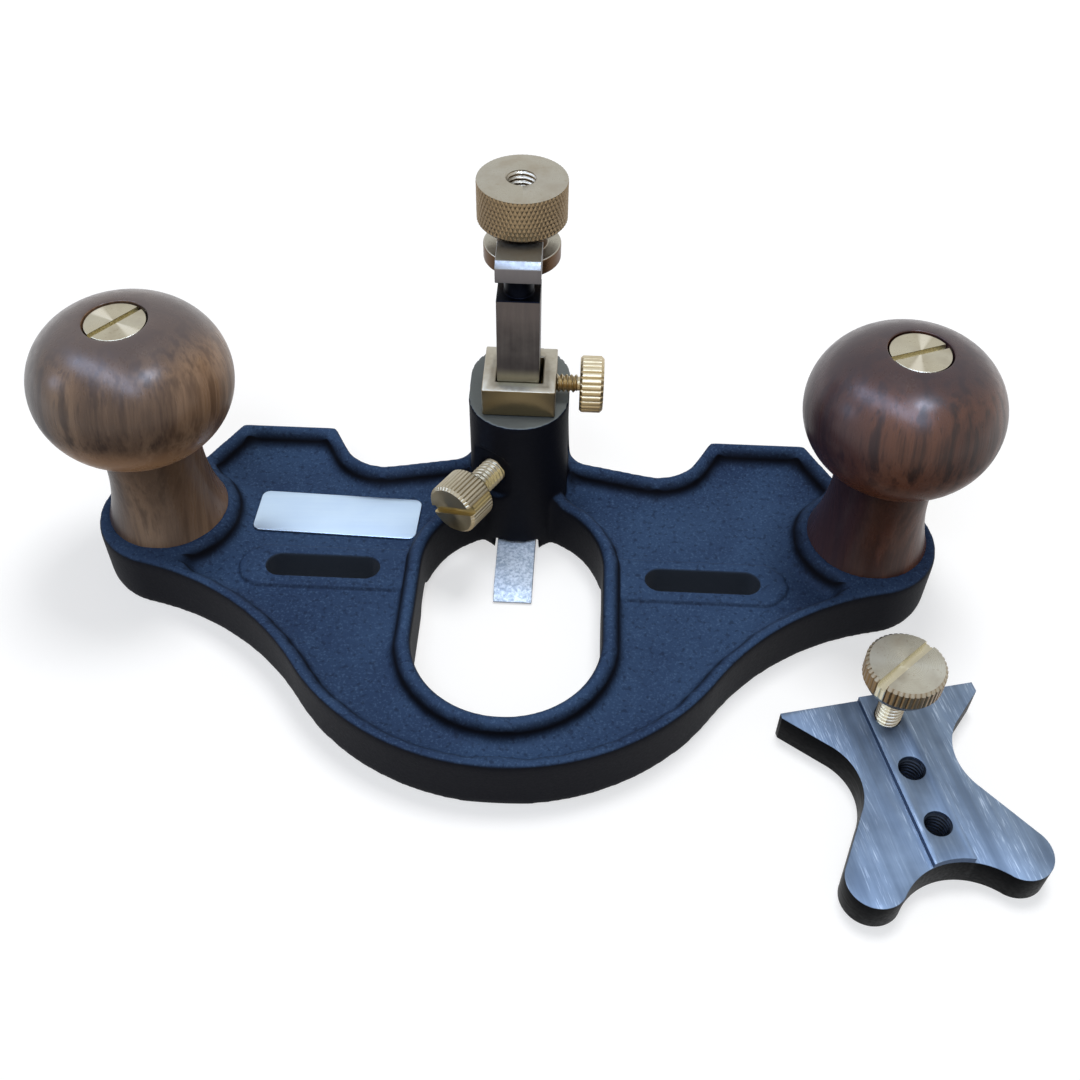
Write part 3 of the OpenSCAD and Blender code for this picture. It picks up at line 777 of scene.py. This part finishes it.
# The fence's near-black sides and its rib's step tone are painted shade.
FENCE_STEEL = milled("milled_fence_steel", pale=rgb(126, 142, 160), deep=rgb(98, 112, 129), side=rgb(3, 4, 6),
    along=(1, 0.035, 1), turn=fence_turn, lines=0.1, low_rough=0.5, high_rough=0.62, flecks=0.6,
    step=(fence_step_z, rgb(74, 88, 110)))
# The fence holes' threads are painted dark, standing in for the shade inside the holes.
HOLE_SHADE_STEEL = milled("painted_shade_thread", pale=rgb(46, 52, 62), deep=rgb(30, 35, 43), side=rgb(26, 30, 38),
    along=(1, 1, 0.3))
STUD_STEEL = milled("threaded_steel", pale=rgb(178, 172, 160), deep=rgb(128, 120, 108),
    side=rgb(120, 112, 100), along=(1, 1, 0.3))
PLATE = milled("brushed_plate", pale=rgb(204, 226, 248), deep=rgb(197, 220, 245), side=rgb(120, 134, 150),
    along=(0.05, 1, 1), turn=1.7, lines=0.03, low_rough=0.34, high_rough=0.44)


# Pieces

def smooth_step(low, high, value):
    t = np.clip((value - low) / (high - low), 0, 1)
    return t * t * (3 - 2 * t)


def soften(mesh, weight, rounds, step=0.5):
    """Moves each point towards the middle of its neighbours, by its own weight along each axis."""
    count = len(mesh.vertices)
    co = np.empty(count * 3, np.float32)
    mesh.vertices.foreach_get("co", co)
    co = co.reshape(-1, 3).astype(float)
    ends = np.empty(len(mesh.edges) * 2, np.int32)
    mesh.edges.foreach_get("vertices", ends)
    a, b = ends.reshape(-1, 2).T
    degree = np.bincount(np.concatenate([a, b]), minlength=count)
    share = step * weight(co / MM)
    for _ in range(rounds):
        total = np.stack([np.bincount(a, co[b, k], count) + np.bincount(b, co[a, k], count)
                          for k in range(3)], 1)
        co += share * (total / degree[:, None] - co)
    mesh.vertices.foreach_set("co", co.astype(np.float32).ravel())
    mesh.update()


def ball_offsets(r):
    """Grid steps under a ball of that radius, each with the ball's height there."""
    reach_n = int(r / grid_step)
    for i in range(-reach_n, reach_n + 1):
        for j in range(-reach_n, reach_n + 1):
            flat = (i * i + j * j) * grid_step ** 2
            if flat < r ** 2:
                yield i, j, math.sqrt(r ** 2 - flat)


def spread(grid, count):
    """Carries heights outwards over empty cells."""
    rows, columns = grid.shape
    for _ in range(count):
        wide = np.pad(grid, 1, constant_values=no_metal_z)
        near = [wide[i:i + rows, j:j + columns] for i in (0, 1, 2) for j in (0, 1, 2)]
        grid = np.where(grid > 0, grid, np.max(near, axis=0))
    return grid


def rolled(grid, r, above):
    """Heights that a ball touches as it rolls over a grid of heights, from above or from inside."""
    rows, columns = grid.shape
    n = int(r / grid_step) + 1
    sign = 1 if above else -1
    for step in (sign, -sign):
        wide = np.pad(grid, n, constant_values=no_metal_z)
        near = [wide[n + i:n + i + rows, n + j:n + j + columns] + step * up for i, j, up in ball_offsets(r)]
        grid = np.max(near, axis=0) if step > 0 else np.min(near, axis=0)
    return grid


class CastTop:
    """Heights of the casting seen from above, its inner corners filled and its edges rounded by a ball."""

    def __init__(self, node):
        low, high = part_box(node)
        self.start = np.array(low)[:2] / MM - grid_margin
        end = np.array(high)[:2] / MM + grid_margin
        self.count = np.ceil((end - self.start) / grid_step).astype(int) + 1
        self.bare = self.measured(frame["nodes"][node], high.z + 0.01)
        lines = (self.start[k] + grid_step * np.arange(self.count[k]) for k in (0, 1))
        beside = slot_distance(*np.meshgrid(*lines, indexing="ij"))
        pad_z = np.median(self.bare[(beside > pad_ring[0]) & (beside < pad_ring[1])])
        pads = (np.abs(self.bare - pad_z) < pad_flatness) | (beside < pad_ring[0])
        widest = math.ceil((fillet_r + round_r) / grid_step) + 1
        plain = spread(np.where(pads, pad_z - pad_rise, self.bare), widest)
        shaped = rolled(rolled(plain, fillet_r, True), round_r, False)
        self.shaped = np.where(pads, np.maximum(shaped, pad_z), shaped)

    def measured(self, solid, top):
        """The solid's height at each point of the grid."""
        tree = BVHTree.FromObject(solid, bpy.context.evaluated_depsgraph_get())
        heights = np.full(self.count, no_metal_z)
        down = Vector((0, 0, -1))
        for i in range(self.count[0]):
            x = (self.start[0] + i * grid_step) * MM
            for j in range(self.count[1]):
                hit = tree.ray_cast(Vector((x, (self.start[1] + j * grid_step) * MM, top)), down)[0]
                if hit:
                    heights[i, j] = hit.z / MM
        return heights

    def shape(self, co):
        """Moves points on the upper faces to the shaped heights."""
        at = (co[:, :2] - self.start) / grid_step
        cell = np.floor(at).astype(int)
        part = at - cell
        height, lowest, highest = np.zeros(len(co)), np.full(len(co), np.inf), np.zeros(len(co))
        for i in (0, 1):
            for j in (0, 1):
                k = (cell[:, 0] + i, cell[:, 1] + j)
                height += np.abs(1 - i - part[:, 0]) * np.abs(1 - j - part[:, 1]) * self.shaped[k]
                lowest = np.where(self.bare[k] > 0, np.minimum(lowest, self.bare[k]), lowest)
                highest = np.maximum(highest, self.bare[k])
        inset = round_r - np.clip(mouth_distance(co[:, 0], co[:, 1]), 0, round_r)
        height -= round_r - np.sqrt(round_r ** 2 - inset ** 2)
        z = co[:, 2]
        off_post = (highest < post_foot_z) & (lowest < post_foot_z)
        near = (height > least_top_z) & off_post & (z < highest + stray_h)
        on_top = near & (z > lowest - skin_t)
        high = near & (z > lowest - round_r - edge_slack) & (z > height)
        co[:, 2] = np.where(on_top | high, height, z)
        return co


def mouth_distance(x, y):
    """Distance from the edge of the mouth, less than 0 inside it."""
    return np.hypot(x, y - np.clip(y, *mouth_y)) - mouth_r


def slot_distance(x, y):
    """Distance from the edge of the nearer fence slot, less than 0 inside it."""
    run = np.maximum(np.abs(np.abs(x) - slot_x) - (slot_len - slot_w) / 2, 0)
    return np.hypot(run, y - slot_y) - slot_w / 2


def true_post(co):
    """Brings points on and off the rear wall of the post to its radius."""
    x, y, z = co.T
    behind = np.maximum(y - post_y, 0)
    off = np.hypot(x, behind)
    painted_side_shade = (z > post_foot_z) & (y > post_side_y) & (off > post_r - post_slack)
    share = np.where(painted_side_shade, post_r / np.maximum(off, post_r / 2), 1)
    return np.stack([x * share, np.where(y > post_y, post_y + behind * share, y), z], 1)


def softness(co):
    """How far smoothing moves points along each axis: little at sole, seats, slots, pads and flats."""
    x, y, z = co.T
    knob_x = abs(centre("left_knob")[0])
    stem_y = axis_of("stop_screw_turn")[0][1]
    clamp_at, clamp_axis = axis_of("clamp_screw_turn")
    held = 1 - smooth_step(post_top_hold, post_top_hold + post_top_blend, z)
    held *= smooth_step(*(seat_hold_r + blend for blend in seat_blend), np.hypot(np.abs(x) - knob_x, y))
    off = co - clamp_at
    radial = np.linalg.norm(off - np.outer(off @ clamp_axis, clamp_axis), axis=1)
    held[(radial < clamp_flat_r) & (off @ clamp_axis > -clamp_flat_l)] *= clamp_flat_give
    held *= smooth_step(*slot_blend, slot_distance(x, y))
    on_pad = (np.abs(y - slot_y) < pad_w / 2 + pad_margin) & (np.abs(x) < pad_end + pad_margin)
    held[on_pad & (z > pad_band_z[0]) & (z < pad_band_z[1])] *= pad_give
    channel = (np.abs(x) < channel_half_w) & (y > channel_front_y) & (y < stem_y + channel_back)
    held[channel & (z < channel_h)] *= channel_give
    upright = held * smooth_step(sole_hold, sole_hold + sole_blend, z)
    return np.stack([held, held, upright], 1)


def cast_base():
    """The casting with rounded rim, ring and seats, and fillets at the floor."""
    obj = clean_copy("cast_base", "base_casting", flat=0.01)
    remesh = obj.modifiers.new("cast", "REMESH")
    remesh.mode, remesh.voxel_size, remesh.adaptivity = "VOXEL", voxel * MM, 0
    applied(obj)
    cast_top = CastTop("base_casting")
    co = np.empty(len(obj.data.vertices) * 3, np.float32)
    obj.data.vertices.foreach_get("co", co)
    co = true_post(cast_top.shape(co.reshape(-1, 3).astype(float) / MM))
    obj.data.vertices.foreach_set("co", (co * MM).astype(np.float32).ravel())
    soften(obj.data, softness, soften_rounds)
    obj.data.shade_smooth()
    return settle(obj, "base", "paint", PAINT, "base_casting")


def half_width(node):
    low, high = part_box(node)
    return (high.x - low.x) / 2 / MM


def knob_section(side):
    """Half a knob's section: bore, recess and top, then ball, crease and the sweep to the foot."""
    low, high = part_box(f"{side}_knob")
    foot_z, top_z = low.z / MM, high.z / MM
    ball_off, ball_z = half_width(f"{side}_knob") - ball_r, top_z - ball_drop
    length, flare = neck_z - foot_z, foot_r - neck_r
    sweep_r = (length ** 2 + flare ** 2) / (2 * flare)
    sweep_end = 180 + math.degrees(math.asin(length / sweep_r))
    crease_z = ball_z - math.sqrt((ball_r + crease_r) ** 2 - (neck_r + crease_r - ball_off) ** 2)
    crease_a = math.degrees(math.atan2(ball_z - crease_z, ball_off - neck_r - crease_r))
    top_a = math.degrees(math.asin(ball_drop / ball_r))
    top_r = ball_off + ball_r * math.cos(math.radians(top_a))
    recess_r, recess_z = half_width(f"{side}_knob_nut") + recess_gap, top_z - disc_t - nut_sink
    bore_r = barrel_r + recess_gap
    section = rounded([(bore_r, foot_z), (bore_r, recess_z), (recess_r, recess_z),
        (recess_r, top_z, recess_lip_r), (top_r, top_z)])
    section += arc(ball_off, ball_z, ball_r, top_a, crease_a - 180, ball_points)[1:]
    section += arc(neck_r + crease_r, crease_z, crease_r, crease_a, 180, crease_points)[1:]
    return section + arc(neck_r + sweep_r, neck_z, sweep_r, 180, sweep_end, sweep_points)


def knob(side, look):
    node = f"{side}_knob"
    place = stand((centre(node)[0], 0, 0))
    obj = revolve(f"turned_knob_{side}", knob_section(side), knob_sides, place, closed=True, sharp=50)
    return settle(obj, "base", f"{side}_wood", look, node)


def knob_nut(side):
    node = f"{side}_knob_nut"
    low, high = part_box(node)
    bottom, top, disc_r = low.z / MM, high.z / MM - nut_sink, half_width(node)
    disc_z = top - disc_t
    section = rounded([(nut_bore_r, disc_z - nut_bore_roof), (nut_bore_r, bottom),
        (barrel_r, bottom, barrel_edge_r), (barrel_r, disc_z), (disc_r, disc_z, disc_under_r),
        (disc_r, top, disc_edge_r), (disc_r - 1, top)])
    turn = math.radians(nut_cut_turn[side])
    place = stand((centre(node)[0], 0, 0), run=(math.cos(turn), math.sin(turn), 0))
    obj = revolve(f"slotted_nut_{side}", section, nut_sides, place)
    cut_slot(obj, nut_cut_w, nut_cut_d, top)
    return settle(obj, "base", "brass", NUT_BRASS[side], node)


def adjuster_stud():
    low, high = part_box("adjuster_stud")
    point, _ = axis_of("depth_nut_turn")
    stud_r = half_width("adjuster_stud")
    root_r = stud_r - thread_d
    low_z, top_z, post_z = low.z / MM, high.z / MM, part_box("base_casting")[1].z / MM
    section = [(root_r, low_z), (root_r, post_z - 2 * thread_lead), (stud_r, post_z - thread_lead),
        (stud_r, top_z - thread_lead), (stud_r - stud_chamfer, top_z)]
    place = stand((point[0], point[1], 0))
    obj = revolve("threaded_stud", split_walls(section, thread_step), thread_sides, place,
        relief=threaded(stud_r, thread_d), sharp=60)
    return settle(obj, "base", "steel", STUD_STEEL, "adjuster_stud")


def depth_nut_section(hole_r, wheel_r, wheel_z):
    """Half the depth nut's section: hole, flange, neck and wheel."""
    low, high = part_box("depth_nut")
    bottom, top = low.z / MM, high.z / MM
    flange_z, rim_r = bottom + flange_t, wheel_r - wheel_chamfer
    low_cut, top_cut = nut_hole_chamfer["low"], nut_hole_chamfer["top"]
    section = rounded([(hole_r, bottom + low_cut), (hole_r + low_cut, bottom),
        (flange_r, bottom, flange_edge_r), (flange_r, flange_z, flange_edge_r),
        (nut_neck_r, flange_z, nut_neck_fillet), (nut_neck_r, wheel_z, nut_neck_fillet), (rim_r, wheel_z),
        (wheel_r, wheel_z + wheel_chamfer), (wheel_r, top - wheel_chamfer), (rim_r, top),
        (hole_r + top_cut, top), (hole_r, top - top_cut)], closed=True)
    section = split_walls(section, thread_step, closed=True)
    return [(r, z) for i, (r, z) in enumerate(section) if r < hole_r + wall_t or i % 2 == 0 or z < wheel_z]


def depth_nut():
    point, _ = axis_of("depth_nut_turn")
    wheel_r, wheel_z = half_width("depth_nut"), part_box("depth_nut")[1].z / MM - wheel_h
    hole_r = half_width("adjuster_stud") + thread_gap
    wheel = knurl(wheel_r, wheel_teeth, wheel_pitch, knurl_d)

    def relief(angle, r, z):
        if z > wheel_z - knurl_slack and r > wheel_r - wheel_chamfer - knurl_slack:
            return wheel(angle, r, z)
        return np.full(len(angle), r)

    section = depth_nut_section(hole_r, wheel_r, wheel_z)
    place = stand((point[0], point[1], 0))
    obj = revolve("knurled_depth_nut", section, wheel_teeth * points_per_rib, place, closed=True,
        relief=threaded(hole_r, thread_d, relief), sharp=40)
    return settle(obj, "depth_nut", "brass", BRASS, "depth_nut")


def thumbscrew_section(tip, end, shank_r, head_r, head_l, taper):
    """Half a thumbscrew's section from its tip to the middle of its head."""
    head, root_r = end - head_l, shank_r - thread_d
    low_r, taper_l = head_r - head_under_chamfer, head_under_chamfer
    if taper < 1:
        low_r, taper_l = head_r * taper, head_l / 3
    section = [(root_r - tip_inset, tip), (shank_r, tip + shank_lead), (shank_r, head - shank_lead),
        (root_r, head - thread_lead)]
    section += rounded([(root_r, head), (low_r, head, head_under_r), (head_r, head + taper_l),
        (head_r, end - head_chamfer), (head_r - head_chamfer, end), (head_r - 2 * head_chamfer, end)])
    return split_walls(section, thread_step)


def thumbscrew(name, node, joint, body, look, shank_r, head_l, ribs_count, run=None, taper=1):
    """A ribbed head on a threaded shank along a joint's axis, slotted along run."""
    point, axis = axis_of(joint)
    tip, end, head_r = reach(node, point, axis)
    grooves = ribs(head_r, ribs_count, rib_d)

    def relief(angle, r, z):
        on_head = r > shank_r + wall_t and z > end - head_l + rib_start
        return grooves(angle, r, z) if on_head else np.full(len(angle), r)

    section = thumbscrew_section(tip, end, shank_r, head_r, head_l, taper)
    place = stand(point, axis, run or (0, 0, 1))
    obj = revolve(name, section, ribs_count * points_per_rib, place,
        relief=threaded(shank_r, thread_d, relief), sharp=40)
    if run:
        cut_slot(obj, screw_cut_w, screw_cut_d, end)
    return settle(obj, body, "brass", look, node)


def hole_threads(name, mount):
    """Thread ridges in one of the fence's free holes, coloured dark as painted shade."""
    found = next(m for m in frame["record"]["mounts"] if m["name"] == mount)
    at = np.array(found["pos_m"]) / MM
    bottom, top = free_hole_inset["low"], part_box("fence")[1].z / MM - free_hole_inset["top"]
    crest, outer = free_hole_r - free_hole_proud, free_hole_r + free_hole_thread_t
    section = split_walls([(crest, bottom), (crest, top), (outer, top), (outer, bottom)], thread_step,
        closed=True)
    obj = revolve(name, section, thread_sides, stand((at[0], at[1], 0)), closed=True,
        relief=threaded(crest, free_hole_thread_d), sharp=60)
    return settle(obj, "fence", "fence_steel", HOLE_SHADE_STEEL)


def build_pieces():
    cast_base()
    knob("left", LEFT_WOOD)
    knob("right", RIGHT_WOOD)
    knob_nut("left")
    knob_nut("right")
    adjuster_stud()
    depth_nut()
    thumbscrew("stop_screw_ribbed", "stop_thumbscrew", "stop_screw_turn", "stop_screw", STOP_BRASS,
        stop_r, stop_head_l, stop_ribs)
    thumbscrew("clamp_screw_ribbed", "clamp_thumbscrew", "clamp_screw_turn", "clamp_screw", CLAMP_BRASS,
        clamp_r, clamp_head_l, clamp_ribs, clamp_run)
    thumbscrew("fence_screw_ribbed", "fence_thumbscrew", "fence_screw_turn", "fence_screw", FENCE_BRASS,
        fence_screw_r, fence_head_h, fence_ribs, fence_run, fence_head_taper)
    settle(eased("ground_cutter", "cutter", cutter_edge), "cutter", "cutter_steel", STEM_STEEL, "cutter")
    settle(eased("milled_collar", "stop_collar", collar_edge), "stop_collar", "brass", COLLAR_BRASS,
        "stop_collar")
    settle(eased("milled_fence", "fence", fence_edge), "fence", "fence_steel", FENCE_STEEL, "fence")
    settle(eased("bare_plate", "blank_plate", plate_edge), "base", "plate", PLATE, "blank_plate")
    for name, mount in free_holes.items():
        hole_threads(f"fence_thread_{name}", mount)
    for side in ("left", "right"):
        stud = frame["nodes"][f"{side}_knob_stud"]
        stud.data.materials.clear()
        stud.data.materials.append(STUD_STEEL)


# Camera, light and floor

def camera():
    """The photograph's viewpoint: angles in degrees, lengths in metres."""
    azimuth, elevation, roll = (math.radians(a) for a in (1.93, 47.11, 0.98))
    distance, target = 0.27219, Vector((0.0054, 0, 0.00705))
    focal_px, image_px, sensor = 1229.92, 1080, 36
    back = Vector((math.sin(azimuth) * math.cos(elevation), -math.cos(azimuth) * math.cos(elevation),
        math.sin(elevation)))
    level = Vector((math.cos(azimuth), math.sin(azimuth), 0))
    right = level * math.cos(roll) + back.cross(level) * math.sin(roll)
    data = bpy.data.cameras.new("camera")
    data.sensor_fit, data.sensor_width = "HORIZONTAL", sensor
    data.lens = focal_px / image_px * sensor
    data.clip_start, data.clip_end = 0.01, 50
    obj = bpy.data.objects.new("camera", data)
    turn = Matrix((right, back.cross(right), back)).transposed().to_4x4()
    obj.matrix_world = Matrix.Translation(target + distance * back) @ turn
    bpy.context.scene.collection.objects.link(obj)
    bpy.context.scene.camera = obj


def lamp(name, direction, distance, size, share, colour=(1, 1, 1), mirrored=True, lights=True):
    """A soft panel that lights a white face turned to it to that share of white.

    One that isn't mirrored shows in no gloss, and one that doesn't light shows only there.
    """
    data = bpy.data.lights.new(name, "AREA")
    data.shape, data.size, data.size_y = "RECTANGLE", size[0], size[1]
    data.energy = share * math.pi ** 2 * distance ** 2
    data.color = colour
    obj = bpy.data.objects.new(name, data)
    away = Vector(direction).normalized()
    obj.location = away * distance
    obj.rotation_mode = "QUATERNION"
    obj.rotation_quaternion = away.to_track_quat("Z", "Y")
    obj.visible_camera, obj.visible_glossy, obj.visible_diffuse = False, mirrored, lights
    bpy.context.scene.collection.objects.link(obj)


def seen_directly(tree):
    """1 for rays from the camera, a mirror or glass, else 0."""
    path = made(tree, "ShaderNodeLightPath").outputs
    seen = path["Is Camera Ray"]
    for other in ("Is Glossy Ray", "Is Transmission Ray"):
        seen = made(tree, "ShaderNodeMath", {0: seen, 1: path[other]}, operation="MAXIMUM").outputs[0]
    return seen


def world():
    """A dim even room that the camera, mirrors and glass see as white."""
    made_world = bpy.data.worlds.new("studio")
    bpy.context.scene.world = made_world
    made_world.use_nodes = True
    tree = made_world.node_tree
    dim = 0.3
    glow = made(tree, "ShaderNodeMath", {0: seen_directly(tree), 1: 1 - dim, 2: dim},
        operation="MULTIPLY_ADD")
    tree.links.new(glow.outputs[0], tree.nodes["Background"].inputs["Strength"])
    tree.nodes["Background"].inputs["Color"].default_value = (1, 1, 1, 1)


def floor():
    """A pale floor that keeps the shadow and reads as white."""
    mesh = bpy.data.meshes.new("floor")
    half, drop = 6.0, -0.0002
    near, far, least_glow = 0.15, 0.4, 0.55
    corners = [(-half, -half, drop), (half, -half, drop), (half, half, drop), (-half, half, drop)]
    mesh.from_pydata(corners, [], [(0, 1, 2, 3)])
    obj = piece("floor", mesh)
    mat = bpy.data.materials.new("pale_floor")
    mat.use_nodes = True
    tree = mat.node_tree
    shader = tree.nodes["Principled BSDF"]
    shader.inputs["Base Color"].default_value = (0.5, 0.5, 0.5, 1)
    shader.inputs["Roughness"].default_value = 1.0
    shader.inputs["Specular IOR Level"].default_value = 0.0
    shader.inputs["Emission Color"].default_value = (1, 1, 1, 1)
    place = made(tree, "ShaderNodeTexCoord").outputs["Object"]
    away = made(tree, "ShaderNodeVectorMath", {0: place}, operation="LENGTH").outputs["Value"]
    level = made(tree, "ShaderNodeMapRange", {"Value": away, "From Min": near, "From Max": far,
        "To Min": least_glow, "To Max": 1.0}, interpolation_type="SMOOTHSTEP").outputs["Result"]
    glow = made(tree, "ShaderNodeMath", {0: seen_directly(tree), 1: level}, operation="MULTIPLY")
    tree.links.new(glow.outputs[0], shader.inputs["Emission Strength"])
    mesh.materials.append(mat)


def studio():
    lamp("ceiling", direction=(0.105, 0.19, 0.976), distance=0.7, size=(0.2, 0.2), share=0.56,
        mirrored=False)
    lamp("fill", direction=(-0.1, -0.5, 0.83), distance=0.8, size=(0.3, 0.2), share=0.24,
        colour=(0.8, 0.88, 1), mirrored=False)
    lamp("window", direction=(-0.9, -0.16, 0.4), distance=0.8, size=(0.1, 0.16), share=0.06,
        colour=(0.5, 0.66, 1))
    lamp("sky", direction=(-0.26, -0.33, 0.91), distance=0.8, size=(1.3, 0.22), share=1.0,
        colour=(0.5, 0.66, 1), lights=False)
    lamp("pane", direction=(0.29, -0.28, 0.915), distance=0.57, size=(0.11, 0.08), share=0.32,
        colour=(0.6, 0.74, 1), lights=False)
    world()
    floor()
    camera()
    bpy.context.scene.view_settings.view_transform = "Standard"


build_pieces()
studio()
